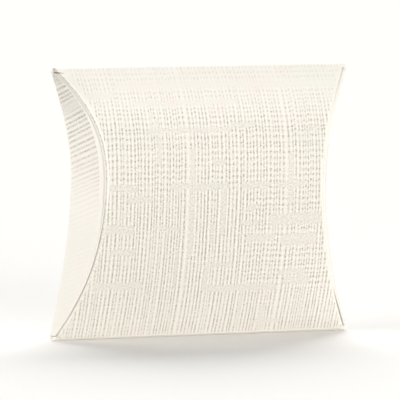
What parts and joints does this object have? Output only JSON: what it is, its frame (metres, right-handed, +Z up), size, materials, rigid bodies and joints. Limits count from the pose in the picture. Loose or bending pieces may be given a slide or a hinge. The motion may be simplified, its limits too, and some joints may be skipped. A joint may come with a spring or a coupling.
{
  "type": "favor box",
  "caption": "Pillow-shaped favor box of ivory embossed card: bowed front and back panels on two side folds, closed at each end by hollow lens flaps that hinge open.",
  "frame": {"origin": "middle of the flat underside of the bottom fold, in the plane of the two side folds", "axes": "+X along the side folds with the left end at -X as seen from the front, +Y from the front panel to the back panel, +Z up from the bottom fold to the top fold"},
  "size_m": [0.0826, 0.0232, 0.07],
  "materials": {
    "embossed_card": "ivory board of about 350 g/m2, blind embossed with an irregular woven texture, matt with a faint sheen",
    "scored_card": "the same board, pressed smooth along the score",
    "glue": "dried white glue"
  },
  "bodies": {
    "sleeve": {"front_panel": "embossed_card", "back_panel": "embossed_card", "top_fold": "embossed_card", "bottom_fold": "embossed_card", "glue_tab": "embossed_card", "glue_line": "glue", "left_back_crease": "scored_card", "left_front_crease": "scored_card", "right_back_crease": "scored_card", "right_front_crease": "scored_card"},
    "left_outer": {"left_outer_flap": "embossed_card"},
    "left_inner": {"left_inner_flap": "embossed_card"},
    "right_outer": {"right_outer_flap": "embossed_card"},
    "right_inner": {"right_inner_flap": "embossed_card"}
  },
  "joints": [
    {"name": "left_outer_hinge", "type": "hinge", "parent": "sleeve", "child": "left_outer", "pos_m": [-0.0312, 0.0124, 0.035], "axis": [0, 0, -1], "range_deg": [0, 90]},
    {"name": "left_inner_hinge", "type": "hinge", "parent": "sleeve", "child": "left_inner", "pos_m": [-0.03055, -0.0108, 0.035], "axis": [0, 0, 1], "range_deg": [0, 90]},
    {"name": "right_outer_hinge", "type": "hinge", "parent": "sleeve", "child": "right_outer", "pos_m": [0.0312, 0.0124, 0.035], "axis": [0, 0, 1], "range_deg": [0, 90]},
    {"name": "right_inner_hinge", "type": "hinge", "parent": "sleeve", "child": "right_inner", "pos_m": [0.03055, -0.0108, 0.035], "axis": [0, 0, -1], "range_deg": [0, 90]}
  ],
  "couplings": [
    {"joint": "left_inner_hinge", "follows": "left_outer_hinge", "ratio": 1},
    {"joint": "right_inner_hinge", "follows": "right_outer_hinge", "ratio": 1}
  ]
}
